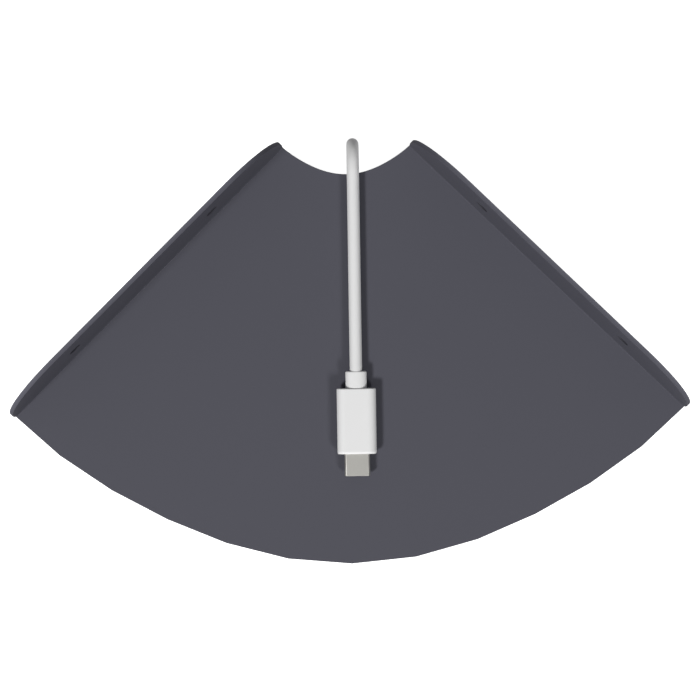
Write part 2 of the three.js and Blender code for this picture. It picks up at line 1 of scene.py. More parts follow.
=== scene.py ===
"""Corner charging pad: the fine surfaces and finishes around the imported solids.

Metres, +Z up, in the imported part's frame: +Y towards the notch, +X to the right.
"""
import json
import math

import bmesh
import bpy
from mathutils import Matrix, Vector


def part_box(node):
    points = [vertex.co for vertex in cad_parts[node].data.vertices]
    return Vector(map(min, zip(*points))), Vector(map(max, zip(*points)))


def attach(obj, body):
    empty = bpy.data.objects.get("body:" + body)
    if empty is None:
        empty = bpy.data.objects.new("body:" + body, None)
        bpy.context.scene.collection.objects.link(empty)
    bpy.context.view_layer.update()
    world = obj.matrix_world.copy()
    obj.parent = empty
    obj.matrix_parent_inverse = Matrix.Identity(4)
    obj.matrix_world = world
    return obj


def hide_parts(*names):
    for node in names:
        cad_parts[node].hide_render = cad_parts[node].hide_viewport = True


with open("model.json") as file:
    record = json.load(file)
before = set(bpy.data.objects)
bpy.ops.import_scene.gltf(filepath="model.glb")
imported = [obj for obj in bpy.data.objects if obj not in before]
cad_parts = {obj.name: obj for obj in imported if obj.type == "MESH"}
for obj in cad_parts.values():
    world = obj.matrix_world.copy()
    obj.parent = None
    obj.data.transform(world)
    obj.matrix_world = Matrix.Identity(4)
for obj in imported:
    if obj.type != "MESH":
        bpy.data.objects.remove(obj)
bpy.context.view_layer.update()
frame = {"nodes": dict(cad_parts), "record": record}

MM = 0.001
DEGREE = math.pi / 180
BEYOND = 6 * MM          # how far a cutter runs past what it cuts
OVERLAP = 1 * MM         # how far a joined feature runs into its base

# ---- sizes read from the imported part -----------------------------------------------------

MOUNTS = {mount["name"]: mount for mount in frame["record"]["mounts"]}
FACE = MOUNTS["charging_face"]["pos_m"][2]
WALL_NORMAL = Vector(MOUNTS["right_wall_face"]["axis"])
WALL_POINT = Vector(MOUNTS["right_wall_face"]["pos_m"])
HALF_ANGLE = math.acos(WALL_NORMAL.x)
FLANGE_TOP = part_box("top_tray")[1].z
PAN_LOW, PAN_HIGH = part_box("base_pan")

# ---- sizes of the tray and the housing ---------------------------------------------------

FLANGE = 1.45 * MM
NOTCH_RADIUS = 28.75 * MM    # on average
NOTCH_WAVE = 0.3 * MM
NOTCH_WAVE_ANGLE = 31 * DEGREE
RIM_RADIUS = 152 * MM
RIM_BULGE = 3.6 * MM
BULGE_HALF_ANGLE = 31 * DEGREE
RIM_FACETS = 12
PLATE = 3 * MM
PLATE_UNDER = FACE - PLATE
CORNER_Y = (WALL_POINT.dot(WALL_NORMAL) - FLANGE) / WALL_NORMAL.y
FLANGE_RIM_ROUND = 25 * MM
FLANGE_NOTCH_ROUND = 22 * MM
WALL_HOLE_RADIUS = 2 * MM
WALL_HOLE_HEIGHT = FACE + 12.5 * MM
WALL_HOLE_END = 31 * MM
WALL_HOLE_FLARE = 0.15 * MM
FLANGE_START = math.sqrt(NOTCH_RADIUS ** 2 - FLANGE ** 2)      # both along the inner face
FLANGE_END = math.sqrt(RIM_RADIUS ** 2 - FLANGE ** 2)
TRAY_EDGE = 0.3 * MM     # the rounding of the tray's edges

PAN_INSET = 11 * MM
PAN_NOTCH_RADIUS = 45 * MM
PAN_WALL = 2 * MM
PAN_FLOOR = 1.8 * MM
PAN_ROUNDS = (8 * MM, 5 * MM)      # at the rim's corners, at the notch's corners
PAN_BOTTOM_ROUND = 2 * MM
POST_INSET = 6.5 * MM
REAR_POST_INSET = 16.5 * MM
RIM_POST_INSET = 12 * MM
FRONT_POST_ANGLE = 13 * DEGREE
FLOOR_TOP = PAN_LOW.z + PAN_FLOOR
BOSS_RADIUS = 5 * MM
BOSS_TOP = FLOOR_TOP + 2.2 * MM
POST_RADIUS = 3.5 * MM
SCREW_HOLE = 1.55 * MM
SCREW_BITE = 10 * MM     # how deep a post's pilot hole is
CLEARANCE = 0.3 * MM
CARRIER_BOSS_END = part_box("coil_carrier")[1].z + CLEARANCE
RIB_DEPTH = 2.5 * MM
RIB_THICKNESS = 1.2 * MM
SMALL_BOSS_RADIUS = 3 * MM
SMALL_POST_RADIUS = 2.4 * MM
SMALL_HOLE = 1.1 * MM
SMALL_BITE = 4 * MM
FOOT_POCKET = 0.7 * MM

CORD_RADIUS = 2 * MM
CORD_ROUTE = [[value * MM for value in point] for point in (
    (2.1, 56.7, 7.35), (2.1, 58.2, 7.35), (2.1, 59.8, 7.35),
    (2.1, 63.2, 8.05), (2.1, 66.2, 9.95), (2.1, 68.1, 12.95), (2.1, 68.8, 16.35),
    (2.1, 68.1, 19.75), (2.1, 66.2, 22.75), (2.1, 63.2, 24.65), (2.1, 59.8, 25.35),
    (2.1, 55.0, 25.35), (2.1, 48.0, 25.35), (2.1, 40.0, 25.35), (2.1, 30.0, 25.35),
    (2.1, 20.0, 25.35), (2.1, 12.0, 25.4), (2.1, 5.0, 25.5), (2.1, -1.0, 25.6),
    (2.1, -5.4, 25.7),
)]

CORD_END = 0.4 * MM      # how far the cord runs into the relief and into the sleeve
GLAND_HOLE = 3.3 * MM

CASE_HEAD = 1.6 * MM     # a head's height, a shank's radius and a thread's pitch
CASE_SHANK = 1.25 * MM
CASE_PITCH = 0.9 * MM
SMALL_HEAD = 1.1 * MM
SMALL_SHANK = 0.8 * MM
SMALL_PITCH = 0.6 * MM

CASE_SCREWS = [f"case_screw_{i}" for i in range(1, 7)]
CARRIER_SCREWS = [f"carrier_screw_{i}" for i in range(1, 5)]
BOARD_SCREWS = [f"board_screw_{i}" for i in range(1, 5)]
CLAMP_SCREWS = [f"clamp_screw_{i}" for i in range(1, 3)]
FEET = [f"foot_{place}" for place in
        ("rear_left", "rear_right", "front_left", "front_right", "front_centre")]

# ---- camera, light and floor -------------------------------------------------------------

CAMERA_PLACE = Vector((0.3 * MM, 1.12 * MM, FACE + 450 * MM))
CAMERA_TURN = -0.88 * DEGREE
CAMERA_VIEW = 28.35 * DEGREE
LAMP_DISTANCE = 6.0

# direction that a lamp shines from, its angular width, and the light it gives a level white
# surface, where 1 shows a white one as white
KEY = ((-0.68, -0.68, 1.0), 11 * DEGREE, 0.49)
SECOND = ((0.76, -1.0, 1.0), 13 * DEGREE, 0.25)
AMBIENT = 0.2
FLOOR_LIGHT = 0.45       # what the floor sends back up at the object
FLOOR_GLOW = 0.88
FLOOR_GREY = 0.92
FLOOR_HALF = 30.0
HORIZON = 0.1            # half the height over which the light from above and below blends


def make_camera():
    """A camera that looks straight down at the face."""
    data = bpy.data.cameras.new("camera")
    data.angle = CAMERA_VIEW
    camera = bpy.data.objects.new("camera", data)
    camera.location = CAMERA_PLACE
    camera.rotation_euler = (0, 0, CAMERA_TURN)
    bpy.context.scene.collection.objects.link(camera)
    bpy.context.scene.camera = camera


def make_light(name, direction, width, level):
    """A distant round lamp that shines at the middle of the face from a direction."""
    towards = Vector(direction).normalized()
    data = bpy.data.lights.new(name, "AREA")
    data.shape = "DISK"
    data.size = 2 * LAMP_DISTANCE * math.tan(width / 2)
    level_power = (math.pi * LAMP_DISTANCE) ** 2 / towards.z     # shows level white as white
    data.energy = level * level_power
    light = bpy.data.objects.new(name, data)
    light.location = Vector((0, 0, FACE)) + towards * LAMP_DISTANCE
    light.rotation_euler = towards.to_track_quat("Z", "Y").to_euler()
    bpy.context.scene.collection.objects.link(light)


def make_world(above, below):
    """Even light from above, and its own level of it from below, where the floor lies."""
    world = bpy.data.worlds.new("studio")
    world.use_nodes = True
    nodes, links = world.node_tree.nodes, world.node_tree.links
    direction = nodes.new("ShaderNodeSeparateXYZ")
    links.new(nodes.new("ShaderNodeTexCoord").outputs["Generated"], direction.inputs["Vector"])
    level = ranged(nodes, links, direction.outputs["Z"], below, above, -HORIZON, HORIZON)
    background = nodes["Background"]
    background.inputs["Color"].default_value = (1.0, 1.0, 1.0, 1.0)
    links.new(level, background.inputs["Strength"])
    bpy.context.scene.world = world


def make_floor():
    """A white floor that only the camera sees; the world gives the light it would send up."""
    bm = bmesh.new()
    bm.faces.new([bm.verts.new((x * FLOOR_HALF, y * FLOOR_HALF, 0))
                  for x, y in ((-1, -1), (1, -1), (1, 1), (-1, 1))])
    mesh = bpy.data.meshes.new("floor")
    bm.to_mesh(mesh)
    bm.free()
    floor = bpy.data.objects.new("floor", mesh)
    bpy.context.scene.collection.objects.link(floor)
    floor.visible_diffuse = False
    floor.visible_glossy = False
    floor.visible_shadow = False
    material, nodes, _ = new_material("studio_floor")
    shader = nodes["Principled BSDF"]
    shader.inputs["Base Color"].default_value = (FLOOR_GREY, FLOOR_GREY, FLOOR_GREY, 1.0)
    shader.inputs["Roughness"].default_value = 0.9
    shader.inputs["Specular IOR Level"].default_value = 0.1
    shader.inputs["Emission Color"].default_value = (1.0, 1.0, 1.0, 1.0)
    shader.inputs["Emission Strength"].default_value = FLOOR_GLOW
    mesh.materials.append(material)


# ---- materials ---------------------------------------------------------------------------

TRAY_COLOUR = (0.085, 0.085, 0.1045)
PAINTED_EDGE_HIGHLIGHT = 1.35         # the tone of the painted highlight along the flanges' top edges, as a share of the tray's
BORE_PAINTED_SHADE = 0.55        # the tone of the painted shade in the wall-screw holes' bores, as a share of the tray's
CLOUD_SCALE = 45.0       # how many soft clouds of tone there are in a metre
CLOUD_DETAIL = 4.0
GRAIN_DETAIL = 2.0
GRAIN_STRENGTH = 0.35
GRAIN_RANGE = (0.3, 0.7)       # what the grain's noise mostly lies between
HIGHLIGHT_FACING = (0.05, 0.5)       # how far upwards a surface faces where the painted highlight starts and is full
HIGHLIGHT_WIDTH = 0.8 * FLANGE       # how far across the flange the painted highlight grows
HIGHLIGHT_ABOVE = (TRAY_EDGE, 4 * TRAY_EDGE)       # how far above the face the painted highlight starts and is full


def new_material(name):
    material = bpy.data.materials.new(name)
    material.use_nodes = True
    return material, material.node_tree.nodes, material.node_tree.links


def noise(nodes, links, coordinates, scale, detail):
    texture = nodes.new("ShaderNodeTexNoise")
    texture.inputs["Scale"].default_value = scale
    texture.inputs["Detail"].default_value = detail
    links.new(coordinates, texture.inputs["Vector"])
    return texture.outputs["Fac"]


def ranged(nodes, links, value, low, high, source_low=0.0, source_high=1.0):
    """A value carried from one range to another."""
    node = nodes.new("ShaderNodeMapRange")
    node.inputs["From Min"].default_value = source_low
    node.inputs["From Max"].default_value = source_high
    node.inputs["To Min"].default_value = low
    node.inputs["To Max"].default_value = high
    links.new(value, node.inputs["Value"])
    return node.outputs["Result"]


def mixed(nodes, links, share, first, second):
    """Two colours mixed by a share; each of the two is a plain colour or a socket."""
    node = nodes.new("ShaderNodeMix")
    node.data_type = "RGBA"
    sockets = {socket.identifier: socket for socket in node.inputs}
    links.new(share, sockets["Factor_Float"])
    for identifier, colour in (("A_Color", first), ("B_Color", second)):
        if isinstance(colour, (tuple, list)):
            sockets[identifier].default_value = (*colour, 1.0)
        else:
            links.new(colour, sockets[identifier])
    return next(out for out in node.outputs if out.identifier == "Result_Color")


def bumped(nodes, links, height, distance):
    node = nodes.new("ShaderNodeBump")
    node.inputs["Distance"].default_value = distance
    node.inputs["Strength"].default_value = GRAIN_STRENGTH
    links.new(height, node.inputs["Height"])
    return node.outputs["Normal"]


def scaled(colour, share):
    return tuple(channel * share for channel in colour)


def moulded(name, colour, spread=0.04, roughness=(0.5, 0.6), grain=2200.0, depth=0.02 * MM,
            metallic=0.0, specular=0.5):
    """A moulded surface: cloudy tone, fine grain in its bump, and uneven roughness."""
    material, nodes, links = new_material(name)
    shader = nodes["Principled BSDF"]
    place = nodes.new("ShaderNodeTexCoord").outputs["Object"]
    cloud = noise(nodes, links, place, CLOUD_SCALE, CLOUD_DETAIL)
    fine = noise(nodes, links, place, grain, GRAIN_DETAIL)
    tone = mixed(nodes, links, cloud, scaled(colour, 1 - spread), scaled(colour, 1 + spread))
    links.new(tone, shader.inputs["Base Color"])
    links.new(ranged(nodes, links, fine, *roughness, *GRAIN_RANGE), shader.inputs["Roughness"])
    links.new(bumped(nodes, links, fine, depth), shader.inputs["Normal"])
    shader.inputs["Metallic"].default_value = metallic
    shader.inputs["Specular IOR Level"].default_value = specular
    return material


def math_node(nodes, links, operation, *values, clamp=False):
    node = nodes.new("ShaderNodeMath")
    node.operation = operation
    node.use_clamp = clamp
    for socket, value in zip(node.inputs, values):
        if isinstance(value, (int, float)):
            socket.default_value = value
        else:
            links.new(value, socket)
    return node.outputs["Value"]


def flange_frame(nodes, links, place):
    """How far a point is outside the nearer flange's inner face, along it, and up, in metres."""
    axes = nodes.new("ShaderNodeSeparateXYZ")
    links.new(place, axes.inputs["Vector"])
    x = math_node(nodes, links, "ABSOLUTE", axes.outputs["X"])
    sideways = math_node(nodes, links, "MULTIPLY", x, WALL_NORMAL.x)
    rear = math_node(nodes, links, "MULTIPLY_ADD", axes.outputs["Y"], WALL_NORMAL.y,
                     -CORNER_Y * WALL_NORMAL.y)
    out = math_node(nodes, links, "ADD", sideways, rear)
    outwards = math_node(nodes, links, "MULTIPLY", x, WALL_NORMAL.y)
    forwards = math_node(nodes, links, "MULTIPLY_ADD", axes.outputs["Y"], -WALL_NORMAL.x,
                         CORNER_Y * WALL_NORMAL.x)
    return out, math_node(nodes, links, "ADD", outwards, forwards), axes.outputs["Z"]


def in_wall_hole(nodes, links, along, height):
    """1 in the bores of the four wall-screw holes, and 0 away from them."""
    from_middle = math_node(nodes, links, "SUBTRACT", along, (FLANGE_START + FLANGE_END) / 2)
    from_middle = math_node(nodes, links, "ABSOLUTE", from_middle)
    level = math_node(nodes, links, "SUBTRACT", from_middle,
                      (FLANGE_END - FLANGE_START) / 2 - WALL_HOLE_END)
    level = math_node(nodes, links, "MULTIPLY", level, level)
    upright = math_node(nodes, links, "SUBTRACT", height, WALL_HOLE_HEIGHT)
    upright = math_node(nodes, links, "MULTIPLY", upright, upright)
    distance = math_node(nodes, links, "SQRT", math_node(nodes, links, "ADD", level, upright))
    return ranged(nodes, links, distance, 1, 0, WALL_HOLE_RADIUS + WALL_HOLE_FLARE,
                  WALL_HOLE_RADIUS + 2 * WALL_HOLE_FLARE)


def tray_plastic():
    """Slate-grey moulded plastic, with a painted highlight along the flanges' top edges and
    painted shade in the wall-screw holes' bores.
    """
    material = moulded("tray_plastic", TRAY_COLOUR, spread=0.012, roughness=(0.6, 0.7),
                       specular=0.15)
    nodes, links = material.node_tree.nodes, material.node_tree.links
    shader = nodes["Principled BSDF"]
    place = nodes.new("ShaderNodeTexCoord").outputs["Object"]
    out, along, height = flange_frame(nodes, links, place)
    upwards = nodes.new("ShaderNodeSeparateXYZ")
    links.new(nodes.new("ShaderNodeNewGeometry").outputs["Normal"], upwards.inputs["Vector"])
    facing = ranged(nodes, links, upwards.outputs["Z"], 0, 1, *HIGHLIGHT_FACING)
    edge = ranged(nodes, links, out, 0, 1, 0, HIGHLIGHT_WIDTH)
    highlight_low, highlight_high = HIGHLIGHT_ABOVE
    above = ranged(nodes, links, height, 0, 1, FACE + highlight_low, FACE + highlight_high)
    # painted highlight: the flanges' up-facing top edges are lightened to stand in for light
    # catching them
    painted_highlight = math_node(nodes, links, "MULTIPLY", edge, facing)
    painted_highlight = math_node(nodes, links, "MULTIPLY", painted_highlight, above, clamp=True)
    former = shader.inputs["Base Color"].links[0].from_socket
    tone = mixed(nodes, links, painted_highlight, former, scaled(TRAY_COLOUR, PAINTED_EDGE_HIGHLIGHT))
    # painted shade: the wall-screw holes' bores are darkened to stand in for the shade inside them
    bore = in_wall_hole(nodes, links, along, height)
    tone = mixed(nodes, links, bore, tone, scaled(TRAY_COLOUR, BORE_PAINTED_SHADE))
    links.new(tone, shader.inputs["Base Color"])
    return material


# ---- mesh helpers ------------------------------------------------------------------------

def piece_from(bm, name):
    bmesh.ops.recalc_face_normals(bm, faces=bm.faces)
    mesh = bpy.data.meshes.new(name)
    bm.to_mesh(mesh)
    bm.free()
    piece = bpy.data.objects.new(name, mesh)
    bpy.context.scene.collection.objects.link(piece)
    return piece


def lofted(rings, name="cutter"):
    """A closed mesh through rings of equally many points, capped at both ends."""
    bm = bmesh.new()
    loops = [[bm.verts.new(point) for point in ring] for ring in rings]
    for low, high in zip(loops, loops[1:]):
        for i in range(len(low)):
            j = (i + 1) % len(low)
            bm.faces.new((low[i], low[j], high[j], high[i]))
    bm.faces.new(list(reversed(loops[0])))
    bm.faces.new(loops[-1])
    return piece_from(bm, name)


def raised(points, bottom, top, name="cutter"):
    return lofted([[(x, y, z) for x, y in points] for z in (bottom, top)], name)


def turned(profile, sides=64, name="cutter"):
    """A solid turned about +Z from (radius, height) pairs that start and end on the axis."""
    bm = bmesh.new()
    loops = []
    for radius, height in profile:
        if radius == 0:
            loops.append([bm.verts.new((0, 0, height))])
            continue
        loops.append([bm.verts.new((
            radius * math.cos(2 * math.pi * i / sides),
            radius * math.sin(2 * math.pi * i / sides), height)) for i in range(sides)])
    for low, high in zip(loops, loops[1:]):
        for i in range(sides):
            j = (i + 1) % sides
            corners = (low[i % len(low)], low[j % len(low)],
                       high[j % len(high)], high[i % len(high)])
            bm.faces.new(list(dict.fromkeys(corners)))
    return piece_from(bm, name)


def rod(radius, bottom, top, place, sides=48):
    cutter = turned(((0, bottom), (radius, bottom), (radius, top), (0, top)), sides)
    cutter.data.transform(Matrix.Translation((*place, 0)))
    return cutter


def block(low, high):
    points = ((low[0], low[1]), (high[0], low[1]), (high[0], high[1]), (low[0], high[1]))
    return raised(points, low[2], high[2])


def applied(piece):
    """Turns a piece's modifiers into its mesh."""
    graph = bpy.context.evaluated_depsgraph_get()
    mesh = bpy.data.meshes.new_from_object(piece.evaluated_get(graph))
    piece.modifiers.clear()
    former = piece.data
    piece.data = mesh
    bpy.data.meshes.remove(former)
    return piece


def combined(piece, others, operation):
    for other in others:
        modifier = piece.modifiers.new("shape", "BOOLEAN")
        modifier.operation = operation
        modifier.solver = "EXACT"
        modifier.object = other
    applied(piece)
    for other in others:
        bpy.data.objects.remove(other)
    return piece


def bevelled(piece, width, segments=3, angle=35 * DEGREE):
    modifier = piece.modifiers.new("edges", "BEVEL")
    modifier.width = width
    modifier.segments = segments
    modifier.limit_method = "ANGLE"
    modifier.angle_limit = angle
    return applied(piece)


def weighted(piece):
    modifier = piece.modifiers.new("normals", "WEIGHTED_NORMAL")
    modifier.keep_sharp = True
    return applied(piece)


def finished(piece, name, material, nodes, smooth=40 * DEGREE):
    """Names a piece, gives it its finish, and puts it in the place of its CAD nodes."""
    piece.name = name
    piece.data.name = name
    if piece.type == "MESH":
        piece.data.materials.clear()
        piece.data.shade_smooth()
        piece.data.set_sharp_from_angle(angle=smooth)
    piece.data.materials.append(material)
    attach(piece, "root")
    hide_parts(*nodes)
    return piece


# ---- the fan's outline -------------------------------------------------------------------

def fan_point(radius, angle):
    return Vector((radius * math.sin(angle), CORNER_Y - radius * math.cos(angle)))


def side_angle(radius, out):
    """Angle from the centre line to a side that stands out beyond the flange plane."""
    return HALF_ANGLE + math.asin(out / radius)


def point_inside(side, radius, inset):
    return fan_point(radius, side * side_angle(radius, -inset))


def rim_at(angle, inset):
    share = min(abs(angle) / BULGE_HALF_ANGLE, 1)
    return RIM_RADIUS - inset + RIM_BULGE * math.cos(share * math.pi / 2) ** 2


def fan_outline(out, notch, rim_inset, steps, wave=0):
    rim_end = side_angle(RIM_RADIUS - rim_inset, out)
    notch_end = side_angle(notch, out)
    rim = [rim_end * (2 * i / RIM_FACETS - 1) for i in range(RIM_FACETS + 1)]
    arc = [notch_end * (1 - 2 * i / steps) for i in range(steps + 1)]
    waves = [wave * math.cos(math.pi * angle / NOTCH_WAVE_ANGLE) for angle in arc]
    return ([fan_point(rim_at(angle, rim_inset), angle) for angle in rim]
            + [fan_point(notch + extra, angle) for extra, angle in zip(waves, arc)])


def corner_arc(before, corner, after, radius, steps):
    """The points of an arc that replaces one corner of an outline."""
    a = (before - corner).normalized()
    b = (after - corner).normalized()
    half = a.angle(b) / 2
    centre = corner + (a + b).normalized() * radius / math.sin(half)
    start = corner + a * radius / math.tan(half) - centre
    end = corner + b * radius / math.tan(half) - centre
    sweep = math.atan2(start.x * end.y - start.y * end.x, start.dot(end))
    return [centre + Matrix.Rotation(sweep * i / steps, 2) @ start for i in range(steps + 1)]


def notch_corner(side, notch, inset, radius, steps):
    """The arc that rounds the corner between a side and the notch, from the side inwards."""
    centre = point_inside(side, notch + radius, inset + radius)
    outwards = Vector((side * WALL_NORMAL.x, WALL_NORMAL.y))
    rearwards = (Vector((0, CORNER_Y)) - centre).normalized()
    sweep = side * outwards.angle(rearwards)
    return [centre + Matrix.Rotation(sweep * i / steps, 2) @ (radius * outwards)
            for i in range(steps + 1)]


def rounded_fan(inset, steps=40, corner_steps=12):
    """The housing's outline, moved in by an inset from its outer wall."""
    side = PAN_INSET + inset
    notch = PAN_NOTCH_RADIUS + inset
    rim_round, notch_round = (radius - inset for radius in PAN_ROUNDS)
    *rim, right_end, left_end = fan_outline(-side, notch, side, steps=1)
    outline = corner_arc(left_end, rim[0], rim[1], rim_round, corner_steps)
    outline += rim[1:-1]
    outline += corner_arc(rim[-2], rim[-1], right_end, rim_round, corner_steps)
    outline += notch_corner(1, notch, side, notch_round, corner_steps)
    notch_end = side_angle(notch + notch_round, -side - notch_round)
    outline += [fan_point(notch, notch_end * (1 - 2 * i / steps)) for i in range(1, steps)]
    outline += reversed(notch_corner(-1, notch, side, notch_round, corner_steps))
    return outline


def post_places():
    inset = PAN_INSET + PAN_WALL + POST_INSET
    front = rim_at(FRONT_POST_ANGLE, PAN_INSET + PAN_WALL + RIM_POST_INSET)
    places = []
    for side in (-1, 1):
        places.append(point_inside(side, PAN_NOTCH_RADIUS + PAN_WALL + REAR_POST_INSET, inset))
        rim_place = RIM_RADIUS - PAN_INSET - PAN_WALL - RIM_POST_INSET
        places.append(point_inside(side, rim_place, inset))
        places.append(fan_point(front, side * FRONT_POST_ANGLE))
    return places


def middle(node):
    low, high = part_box(node)
    return (low + high) / 2


# ---- tray --------------------------------------------------------------------------------

def on_flange(piece, side):
    """Carries a cutter from (along the flange, up, through it) into place."""
    along = Vector((side * math.sin(HALF_ANGLE), -math.cos(HALF_ANGLE), 0))
    up = Vector((0, 0, 1))
    turn = Matrix((along, up, along.cross(up))).transposed().to_4x4()
    piece.data.transform(Matrix.Translation((0, CORNER_Y, 0)) @ turn)
    return piece


def flange_corner(end, inwards, radius):
    """What is cut off a flange's top corner."""
    steps = 36
    outside = end - inwards * BEYOND
    centre = Vector((end + inwards * radius, FLANGE_TOP - radius))
    points = [(outside, centre.y)]
    for i in range(steps + 1):
        angle = math.pi / 2 * i / steps
        points.append((centre.x - inwards * radius * math.cos(angle),
                       centre.y + radius * math.sin(angle)))
    points += [(centre.x, FLANGE_TOP + BEYOND), (outside, FLANGE_TOP + BEYOND)]
    return raised(points, -BEYOND, BEYOND)


def wall_hole(side, along):
    """A cutter for one wall-screw hole, flared where it meets both sides of the flange."""
    flare = WALL_HOLE_FLARE
    low, high = (0, FLANGE) if side < 0 else (-FLANGE, 0)
    wide = WALL_HOLE_RADIUS + 2 * flare
    cutter = turned((
        (0, low - flare), (wide, low - flare), (WALL_HOLE_RADIUS, low + flare),
        (WALL_HOLE_RADIUS, high - flare), (wide, high + flare), (0, high + flare)), sides=72)
    cutter.data.transform(Matrix.Translation((along, WALL_HOLE_HEIGHT, 0)))
    return on_flange(cutter, side)


def make_tray(material):
    outline = fan_outline(FLANGE, NOTCH_RADIUS, 0, steps=60, wave=NOTCH_WAVE)
    tray = raised(outline, PLATE_UNDER, FLANGE_TOP, "tray")
    reach = 2 * RIM_RADIUS
    wedge = [fan_point(0, 0), fan_point(reach, HALF_ANGLE), fan_point(reach, -HALF_ANGLE)]
    cutters = [raised(wedge, FACE, FLANGE_TOP + BEYOND)]
    for side in (-1, 1):
        cutters.append(on_flange(flange_corner(FLANGE_END, -1, FLANGE_RIM_ROUND), side))
        cutters.append(on_flange(flange_corner(FLANGE_START, 1, FLANGE_NOTCH_ROUND), side))
    combined(tray, cutters, "DIFFERENCE")
    bevelled(tray, TRAY_EDGE)
    combined(tray, tray_underside(), "UNION")
    holes = [wall_hole(side, along) for side in (-1, 1)
             for along in (FLANGE_START + WALL_HOLE_END, FLANGE_END - WALL_HOLE_END)]
    holes += [rod(SCREW_HOLE, BOSS_TOP - BEYOND, BOSS_TOP + SCREW_BITE, place)
              for place in post_places()]
    holes += [rod(SMALL_HOLE, CARRIER_BOSS_END - BEYOND, CARRIER_BOSS_END + SMALL_BITE,
                  middle(screw).xy) for screw in CARRIER_SCREWS]
    combined(tray, holes, "DIFFERENCE")
    finished(tray, "tray_skin", material, ["top_tray"])
    mark_facets(tray)
    return weighted(tray)


def tray_underside():
    """The rib that locates the housing, the screw posts and the coil carrier's bosses."""
    rib_bottom = PLATE_UNDER - RIB_DEPTH
    inset = PAN_WALL + CLEARANCE
    rib = raised(rounded_fan(inset), rib_bottom, PLATE_UNDER + OVERLAP)
    hollow = raised(rounded_fan(inset + RIB_THICKNESS), rib_bottom - BEYOND, PLATE_UNDER + BEYOND)
    features = [combined(rib, [hollow], "DIFFERENCE")]
    features += [rod(POST_RADIUS, BOSS_TOP + CLEARANCE, PLATE_UNDER + OVERLAP, place)
                 for place in post_places()]
    features += [rod(SMALL_BOSS_RADIUS, CARRIER_BOSS_END, PLATE_UNDER + OVERLAP,
                     middle(screw).xy) for screw in CARRIER_SCREWS]
    return features


def mark_facets(tray):
    """Keeps the rim's upright facets flat, each with a crisp edge."""
    near = 0.02          # in facets
    rim_end = side_angle(RIM_RADIUS, FLANGE)
    step = 2 * rim_end / RIM_FACETS
    for edge in tray.data.edges:
        angles = []
        for index in edge.vertices:
            place = tray.data.vertices[index].co
            away = Vector((place.x, CORNER_Y - place.y))
            if away.length > RIM_RADIUS - FLANGE:
                angles.append(math.atan2(away.x, away.y) / step)
        if len(angles) == 2 and all(abs(a - round(a)) < near for a in angles):
            if abs(angles[0] - angles[1]) < near:
                edge.use_edge_sharp = True


# ---- housing -----------------------------------------------------------------------------

def make_pan(material):
    rings = []
    steps = 8
    for i in range(steps + 1):
        angle = math.pi / 2 * i / steps
        inset = PAN_BOTTOM_ROUND * (1 - math.sin(angle))
        height = PAN_LOW.z + PAN_BOTTOM_ROUND * (1 - math.cos(angle))
        rings.append([(x, y, height) for x, y in rounded_fan(inset)])
    rings.append([(x, y, PAN_HIGH.z) for x, y in rounded_fan(0)])
    pan = lofted(rings, "pan")
    cavity = raised(rounded_fan(PAN_WALL), FLOOR_TOP, PAN_HIGH.z + BEYOND)
    combined(pan, [cavity], "DIFFERENCE")
    combined(pan, pan_posts(), "UNION")
    combined(pan, pan_holes(), "DIFFERENCE")
    finished(pan, "pan_skin", material, ["base_pan"])
    return weighted(pan)


def pan_posts():
    """The screw bosses, the board's posts and the saddle that the inner cord lies on."""
    root = FLOOR_TOP - OVERLAP
    features = [rod(BOSS_RADIUS, root, BOSS_TOP, place) for place in post_places()]
    board_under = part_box("control_board")[0].z - CLEARANCE
    features += [rod(SMALL_POST_RADIUS, root, board_under, middle(screw).xy)
                 for screw in BOARD_SCREWS]
    low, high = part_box("cord_clamp")
    saddle_top = low.z - CLEARANCE
    features.append(block((low.x, low.y, root), (high.x, high.y, saddle_top)))
    return features


def pan_holes():
    """Flared counterbores and screw holes, pilots, foot pockets and the cord's way out."""
    under = PAN_LOW.z
    head_low, head_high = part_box("case_screw_1")
    radius = (head_high.x - head_low.x) / 2 + CLEARANCE
    seat = head_low.z + CASE_HEAD + CLEARANCE
    flare = CLEARANCE
    holes = []
    for place in post_places():
        hole = turned(((0, under - OVERLAP), (radius + OVERLAP + flare, under - OVERLAP),
                       (radius, under + flare), (radius, seat), (SCREW_HOLE, seat),
                       (SCREW_HOLE, BOSS_TOP + BEYOND), (0, BOSS_TOP + BEYOND)))
        hole.data.transform(Matrix.Translation((*place, 0)))
        holes.append(hole)
    holes += [rod(SMALL_HOLE, FLOOR_TOP, FLOOR_TOP + BEYOND, middle(screw).xy)
              for screw in (*BOARD_SCREWS, *CLAMP_SCREWS)]
    for foot in FEET:
        low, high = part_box(foot)
        pocket = (high.x - low.x) / 2 + CLEARANCE
        holes.append(rod(pocket, under - BEYOND, under + FOOT_POCKET, middle(foot).xy,
                         sides=72))
    exit_hole = turned(((0, 0), (GLAND_HOLE, 0), (GLAND_HOLE, 2 * BEYOND), (0, 2 * BEYOND)))
    exit_hole.data.transform(Matrix.Rotation(-math.pi / 2, 4, "X"))
    cord_place = (CORD_ROUTE[0][0], CORNER_Y - PAN_NOTCH_RADIUS - BEYOND, CORD_ROUTE[0][2])
    exit_hole.data.transform(Matrix.Translation(cord_place))
    return [*holes, exit_hole]


# ---- feet and screws ---------------------------------------------------------------------

# shares of a foot's radius where its dimple and ring groove lie, and whether they are cut there
FOOT_SOLE = ((0, True), (0.12, True), (0.2, False),
             (0.6, False), (0.64, True), (0.7, True), (0.74, False))


